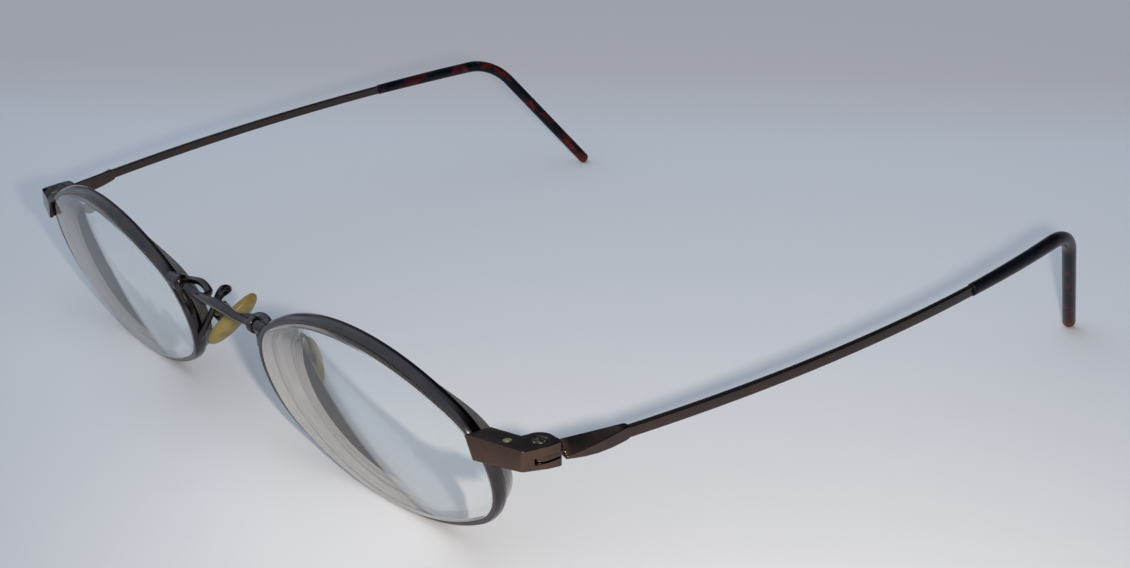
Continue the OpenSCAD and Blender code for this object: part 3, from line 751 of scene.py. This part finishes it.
# %% Sweep the flat strip of each temple
shaft_height = 1.55
shaft_thickness = 0.8
strip_corner_radius = 0.2
strip_steps = 60
strip_start = butt_end + braze_gap
strip_path = [bow_point(strip_start + (tip_start - strip_start) * k / strip_steps)
              for k in range(strip_steps + 1)]
strip_corners = [(x * shaft_thickness / 2, z * shaft_height / 2)
                 for x, z in ((-1, -1), (1, -1), (1, 1), (-1, 1))]
strip_section = rounded(strip_corners, strip_corner_radius, steps=4)
shaft_mesh = sweep("temple_shaft", strip_path, strip_section, False, temple_bronze)
both_sides("temple_shaft", shaft_mesh, temple_place, temple_bronze, sharp_degrees=40)

# %% [markdown]
# ## Ear tips
# The acetate sleeve starts a little thicker than the strip and taller than it is wide, swells
# to its full round section at the bend and ends in a round nose that stands on the table. The
# radius of the path's points carries the taper, and a quarter circle of shrinking radii makes
# the nose. A radius grows the section both ways alike, so the extra height at the start is
# given to the finished mesh, point by point.

# %% Sweep the ear tips
sleeve_start_width = 1.64
sleeve_start_height = 1.96
sleeve_lip = 0.25
nose_turn = math.radians(88)
section_sides = 28
# Steps along the lip, the straight run, the bend, the drop and the round nose
lip_steps, run_steps, bend_steps, drop_steps, nose_steps = 4, 24, 22, 20, 8


def shares(steps):
    """The shares of a way at each of its steps, without its start."""
    return [k / steps for k in range(1, steps + 1)]


def tip_path():
    """Points of the tip's middle line and the radius of the sleeve at each."""
    start_radius = sleeve_start_width / 2
    after_lip = tip_start + sleeve_lip
    points, radii = [], []
    for share in [0.0] + shares(lip_steps):
        angle = math.radians(90) * share
        points.append(bow_point(tip_start + sleeve_lip * (1 - math.cos(angle))))
        radii.append(start_radius - sleeve_lip + sleeve_lip * math.sin(angle))
    for share in shares(run_steps):
        points.append(bow_point(after_lip + (temple_straight - after_lip) * share))
        radii.append(start_radius + (tip_radius - start_radius) * share)
    for share in shares(bend_steps):
        points.append(bend_point(bend_angle * share))
        radii.append(tip_radius)
    for share in shares(drop_steps):
        points.append(drop_start + drop_along * drop_length * share)
        radii.append(tip_radius)
    for share in shares(nose_steps):
        angle = nose_turn * share
        points.append(drop_start + drop_along * (drop_length + tip_radius * math.sin(angle)))
        radii.append(tip_radius * math.cos(angle))
    return points, radii


def round_section(sides):
    turns = [2 * math.pi * k / sides for k in range(sides)]
    return [(math.cos(turn), math.sin(turn)) for turn in turns]


tip_points, tip_radii = tip_path()
tip_mesh = sweep("temple_tip", tip_points, round_section(section_sides), False, acetate, tip_radii)
taller = sleeve_start_height / sleeve_start_width - 1
sleeve_run = bend_start.y - bow_point(tip_start).y
for vertex in tip_mesh.vertices:
    share = min(1, max(0, (bend_start.y - vertex.co.y) / sleeve_run))
    vertex.co.z *= 1 + taller * share
both_sides("temple_tip", tip_mesh, temple_place, acetate, sharp_degrees=50)

# %% [markdown]
# ## Cast and turned pieces from their CAD solids
# Endpieces, hinge parts, screws and pad boxes already have their true shape in CAD, but every
# edge there is a knife's edge. Real ones are tumbled and plated, so each edge is a little
# round and shows a bright line. They could be modelled again from nothing, but a copy of the
# CAD mesh is sure to fit. It is welded, its flat faces are joined, and a bevel modifier
# rounds what is sharp.

# %% Bevelled copies of CAD nodes
weld_mm = 0.0008
flat_angle = math.radians(0.6)
sharp_angle = math.radians(32)


def welded_copy(node):
    mesh = bmesh.new()
    mesh.from_mesh(frame["nodes"][node].data)
    bmesh.ops.remove_doubles(mesh, verts=mesh.verts, dist=weld_mm * MM)
    bmesh.ops.dissolve_limit(mesh, angle_limit=flat_angle, verts=mesh.verts, edges=mesh.edges)
    out = bpy.data.meshes.new(node)
    mesh.to_mesh(out)
    mesh.free()
    return out


def applied(mesh, modifiers):
    """The mesh after a list of (kind, settings) modifiers."""
    helper = bpy.data.objects.new("helper", mesh)
    scene.collection.objects.link(helper)
    for kind, settings in modifiers:
        modifier = helper.modifiers.new(kind, kind)
        for name, value in settings.items():
            setattr(modifier, name, value)
    evaluated = helper.evaluated_get(bpy.context.evaluated_depsgraph_get())
    out = bpy.data.meshes.new_from_object(evaluated)
    bpy.data.objects.remove(helper)
    return out


def bevelled(node, material, width_mm, clamped=True):
    """A CAD node again, with its sharp edges rounded by a small width."""
    mesh = applied(welded_copy(node), [("BEVEL", {
        "width": width_mm * MM, "segments": 3, "limit_method": "ANGLE", "profile": 0.6,
        "angle_limit": sharp_angle, "harden_normals": False, "use_clamp_overlap": clamped})])
    to_piece(node + "_finished", mesh, from_metres, material, node, sharp_degrees=30)


# %% [markdown]
# ## How round each small piece is
# The large castings are rounded most, the screws and the wire of the pad arm least, so each
# piece gets a width of its own, in mm. Where two edges lie close together, Blender can hold
# the bevel back so that it doesn't overlap. The endpiece and the butt do without that.

# %% Finish the small pieces
for side in ("left", "right"):
    bevelled("endpiece_" + side, bronze, 0.12, clamped=False)
    bevelled("closing_block_" + side, gunmetal, 0.06)
    bevelled("temple_butt_" + side, butt_bronze, 0.08, clamped=False)
    bevelled("pad_box_" + side, gunmetal, 0.06)
    bevelled("pad_insert_" + side, nylon, 0.08)
    bevelled("pad_arm_" + side, gunmetal, 0.03)
    bevelled("hinge_screw_" + side, hinge_screw_metal, 0.05)
    bevelled("rim_screw_" + side, screw_metal, 0.05)
    bevelled("pad_screw_" + side, screw_metal, 0.05)

# %% [markdown]
# ## The bridge
# The bar, its knobs and its curled straps are one casting, brazed to the rims, and its inner
# corners are filled with solder. Voxel remeshing melts the parts of the CAD copy into one
# skin, and a smooth modifier rounds the corners as solder does. Smoothing thins it, so the skin
# is then pushed out by the little that it lost.

# %% Melt the bridge into one casting
voxel_mm = 0.06
smoothing_rounds = 6
lost_skin_mm = 0.12
bridge_mesh = applied(welded_copy("bridge"), [
    ("REMESH", {"mode": "VOXEL", "voxel_size": voxel_mm * MM}),
    ("SMOOTH", {"factor": 0.5, "iterations": smoothing_rounds}),
    ("DISPLACE", {"strength": lost_skin_mm * MM, "mid_level": 0})])
to_piece("bridge_finished", bridge_mesh, from_metres, gunmetal, "bridge", sharp_degrees=80)
print("bridge", len(bridge_mesh.polygons), "faces")

# %% [markdown]
# ## Where a nose pad sits
# A pad lies against the flank of the nose, so it is flared, leaning and splayed at once. It
# could be built in its turned place, but it is easier to draw flat, in a frame of its own, and
# one matrix moves it there. That matrix puts the pad's pivot on its joint in the CAD frame,
# as the real pad rocks about its screw.

# %% Place of the left pad
pad_thickness = 2.0
pad_pivot_behind = 1.4
pad_pivot = pad_thickness / 2 + pad_pivot_behind
pad_lean = math.radians(33)
pad_flare = math.radians(29)
pad_splay = math.radians(20)
pad_turn = (Matrix.Rotation(-pad_flare, 4, "Y") @ Matrix.Rotation(-pad_lean, 4, "X")
            @ Matrix.Rotation(-pad_splay, 4, "Z"))
pad_joint = Vector(joints["left_pad_rock"]["pos_m"]) / MM
pad_place = Matrix.Translation(pad_joint - pad_turn.to_3x3() @ Vector((pad_pivot, 0, 0))) @ pad_turn
print("middle of the left pad at", [round(c, 2) for c in pad_place.translation], "mm")

# %% [markdown]
# ## Nose pads
# A silicone pad is a flat drop: its back is flat, its nose side domed, and its rim round. It
# is drawn as rings that grow and shrink from the back to the nose side. It could be pressed
# out of a sphere, but rings keep the back flat and the outline a true drop.

# %% Rings of a nose pad
pad_length = 10.6
pad_width = 6.2
# Rings on the flat back, as shares of the outline
flat_back_shares = (0.3, 0.6, 0.84)
# Shares of the thickness and of the half width that the round rim at the back takes
rim_depth_share = 0.36
rim_reach_share = 0.14
rim_rings = 6
dome_rings = 8
# A power under 1 makes the dome fuller than half a ball
dome_power = 0.8
# How far the outline is drawn out at its top and shortened at its bottom
drop_share = 0.08
pad_sides = 48


def pad_profile():
    """Depths from the back and shares of the full outline, ring by ring."""
    quarter = math.radians(90)
    profile = [(0.0, share) for share in flat_back_shares]
    for share in [0.0] + shares(rim_rings):
        turn = quarter * share
        profile.append((rim_depth_share * (1 - math.cos(turn)),
                        1 - rim_reach_share + rim_reach_share * math.sin(turn)))
    for share in shares(dome_rings)[:-1]:
        turn = quarter * share
        profile.append((rim_depth_share + (1 - rim_depth_share) * math.sin(turn),
                        math.cos(turn) ** dome_power))
    return profile


def nose_pad_mesh():
    mesh = bmesh.new()
    rings = []
    for depth, share in pad_profile():
        ring = []
        for i in range(pad_sides):
            angle = 2 * math.pi * i / pad_sides
            ring.append(mesh.verts.new((
                pad_thickness * (0.5 - depth), share * pad_width / 2 * math.cos(angle),
                share * pad_length / 2 * math.sin(angle) * (1 + drop_share * math.sin(angle)))))
        rings.append(ring)
    for lower, upper in zip(rings, rings[1:]):
        for i in range(pad_sides):
            j = (i + 1) % pad_sides
            mesh.faces.new((lower[i], lower[j], upper[j], upper[i]))
    for ring, depth in ((rings[0], 0.0), (rings[-1], 1.0)):
        middle = mesh.verts.new((pad_thickness * (0.5 - depth), 0, 0))
        for i in range(pad_sides):
            mesh.faces.new((middle, ring[i], ring[(i + 1) % pad_sides]))
    bmesh.ops.recalc_face_normals(mesh, faces=mesh.faces)
    out = bpy.data.meshes.new("nose_pad")
    mesh.to_mesh(out)
    mesh.free()
    return out


both_sides("nose_pad", nose_pad_mesh(), pad_place, silicone, sharp_degrees=80)

# %% [markdown]
# ## Places on the table
# Two things of the picture lie on the table and not on the frame: the line where the paper
# turns warmer, and the point that the lamp is turned to. They are read in the picture, so
# a function follows a pixel's line of sight down to the table.

# %% Where a pixel of the picture falls on the table, in metres
picture_height = 568
fold_pixels = ((0, 88), (1130, 112))
lamp_target_pixel = (640, 300)


def table_point(pixel_x, pixel_y):
    across = (pixel_x - picture_width / 2 - centre_offset[0]) / focal_pixels
    up = (picture_height / 2 + centre_offset[1] - pixel_y) / focal_pixels
    ray = camera.matrix_world.to_3x3() @ Vector((across, up, -1))
    eye = camera.matrix_world.translation
    return eye - ray * (eye.z / ray.z)


# %% [markdown]
# ## The table
# The frame stands on pale paper, whose tone turns warmer beyond a line far behind the frame.
# A plane of one white would look like plastic, so faint clouds of fibre lie in it. The light
# of a near lamp falls off with distance, so the paper's colour is painted paler towards the
# back: painted light that keeps it as bright there as it is in the photograph.

# %% Table, in metres
fold_left, fold_right = (table_point(*pixel) for pixel in fold_pixels)
fold_away = (fold_right - fold_left).cross(Vector((0, 0, -1))).normalized()
fold = fold_away.dot(fold_left)
fold_blur = 0.03
painted_light_starts_before = 0.5
painted_light_full_before = 0.05
fibre_mm = 9
table_half = 3.0
print("paper turns warmer", round(fold / MM), "mm behind the middle")


def table_paper():
    material, tree = new_material("table_paper")
    along = vector_step(tree, "DOT_PRODUCT", place_in_space(tree), fold_away)
    fibres = ramp(tree, noise(tree, fibre_mm, 3), [(0.3, "#d3d4d6"), (0.7, "#d7d8d9")])
    # Painted light: the paper grows paler towards the back, standing in for the lamp light that falls
    # off there
    far_share = spread(tree, along, fold - painted_light_starts_before, fold - painted_light_full_before)
    paler = mix_colour(tree, far_share, fibres, "#f6f8fb")
    beyond_fold = spread(tree, along, fold - fold_blur, fold + fold_blur)
    shader = add(tree, "ShaderNodeBsdfPrincipled", {
        "Base Color": mix_colour(tree, beyond_fold, paler, "#efe9e8"), "Roughness": 0.85,
        "Specular IOR Level": 0.2})
    return finished(material, shader.outputs["BSDF"])


table_mesh = bpy.data.meshes.new("table")
table_mesh.from_pydata([(x * table_half, y * table_half, 0) for x, y in
                        ((-1, -1), (1, -1), (1, 1), (-1, 1))], [], [(0, 1, 2, 3)])
table_mesh.materials.append(table_paper())
table = bpy.data.objects.new("table", table_mesh)
scene.collection.objects.link(table)

# %% [markdown]
# ## The lamp
# The photograph's shadows lie close behind each piece and grow weaker with distance: the
# light is one small lamp beside the camera's lens, and its place was found by tracing shadow
# edges back. A point lamp would light the paper under it too strongly, so a soft-edged spot
# is turned to the frame. Its size gives the shadows their slightly soft edge.

# %% Lamp beside the camera
lamp_radius = 4.5
lamp_from_front = Vector((202.8, -87.7, 102.5))
lamp_data = bpy.data.lights.new("lamp", "SPOT")
lamp_data.shadow_soft_size = lamp_radius * MM
lamp_data.spot_size = math.radians(74)
lamp_data.spot_blend = 1.0
lamp_data.energy = 1.6
lamp_data.color = linear("#fff1e2")[:3]
lamp = bpy.data.objects.new("lamp", lamp_data)
scene.collection.objects.link(lamp)
lamp.location = (lamp_from_front + Vector((0, front_y, 0))) * MM
lamp_back = lamp.location - table_point(*lamp_target_pixel)
lamp.rotation_euler = lamp_back.to_track_quat("Z", "Y").to_euler()
print("lamp", round((lamp.location - camera.matrix_world.translation).length / MM), "mm from the camera")

# %% [markdown]
# ## The room that the metal mirrors
# Dark plating shows what stands around it. The tops of the metal mirror the room beyond the
# table, which is dim above the grey backdrop, and this keeps them near black. The cool
# daylight comes from above and from the left of the camera. So the colour of the world
# depends on how far a direction turns towards that daylight, with a band of backdrop low on
# the far side. A panorama picture could light the scene as well, but a few colours by
# direction do it with nothing read from disk.

# %% Room
world = bpy.data.worlds.new("room")
world.use_nodes = True
scene.world = world
room = world.node_tree
room.nodes.clear()
daylight_side = Vector((-0.45, -0.65, 0.6)).normalized()
backdrop_none, backdrop_full = 0.4, 0.3
near_side, far_side = 0.2, -0.1
room_strength = 0.84
direction = add(room, "ShaderNodeTexCoord").outputs["Generated"]
height = add(room, "ShaderNodeSeparateXYZ", {"Vector": direction}).outputs["Z"]
facing = vector_step(room, "DOT_PRODUCT", direction, daylight_side)
daylight = ramp(room, spread(room, facing, -1.0, 1.0),
                [(0.5, "#24252b"), (0.66, "#6f7886"), (0.78, "#dfecfc")])
low_share = spread(room, height, backdrop_none, backdrop_full)
far_share = spread(room, facing, near_side, far_side)
backdrop_share = calculate(room, "MULTIPLY", low_share, far_share)
room_colour = mix_colour(room, backdrop_share, daylight, "#8b8d94")
background = add(room, "ShaderNodeBackground", {"Color": room_colour, "Strength": room_strength})
add(room, "ShaderNodeOutputWorld", {"Surface": background.outputs["Background"]})
scene.view_settings.view_transform = "Standard"
print("room strength", room_strength)
